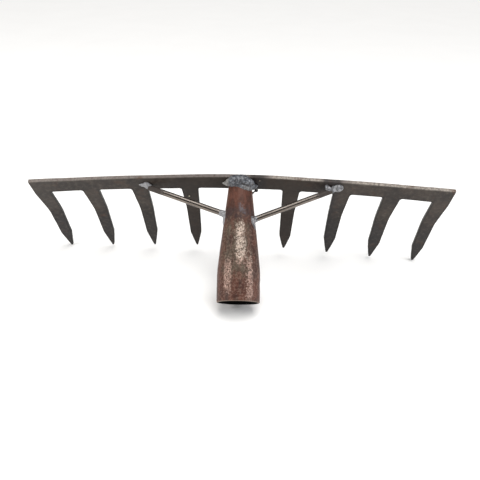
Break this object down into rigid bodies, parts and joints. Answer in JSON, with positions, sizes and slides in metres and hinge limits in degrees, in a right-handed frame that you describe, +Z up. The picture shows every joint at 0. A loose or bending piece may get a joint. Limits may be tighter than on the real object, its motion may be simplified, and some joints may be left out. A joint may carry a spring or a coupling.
{
  "type": "hay rake head",
  "caption": "Welded steel rake head without handle: an arched toothed plate with bent pointed teeth, a conical handle socket and two round side braces.",
  "frame": {"origin": "centre of the bounding box's footprint, on the ground the head rests on", "axes": "+X along the toothed plate, to the right as seen from the handle's side; +Y from the socket's mouth towards the teeth; +Z up. The head stands on its two outer tooth tips and on the lower rim of the socket's mouth."},
  "size_m": [0.365, 0.1152, 0.0976],
  "materials": {
    "plate_steel": "hot-rolled steel with dark brown-grey scale, sheared edges worn brighter",
    "socket_steel": "steel with a red-brown oxide skin, rubbed through to bright speckles along its crest",
    "rod_steel": "drawn round bar, satin, with brown patches",
    "weld_metal": "as-laid weld metal, rippled, blue-grey and silver",
    "spatter_metal": "small dark drops of weld spatter"
  },
  "bodies": {
    "root": {"toothed_plate": "plate_steel", "handle_socket": "socket_steel", "brace_left": "rod_steel", "brace_right": "rod_steel", "weld_socket_left": "weld_metal", "weld_socket_right": "weld_metal", "weld_socket_under": "weld_metal", "weld_brace_left_plate": "weld_metal", "weld_brace_left_socket": "weld_metal", "weld_brace_right_plate": "weld_metal", "weld_brace_right_socket": "weld_metal", "spatter_drop": "spatter_metal", "spatter_bead_tooth": "spatter_metal", "spatter_bead_bar": "spatter_metal"}
  },
  "joints": []
}
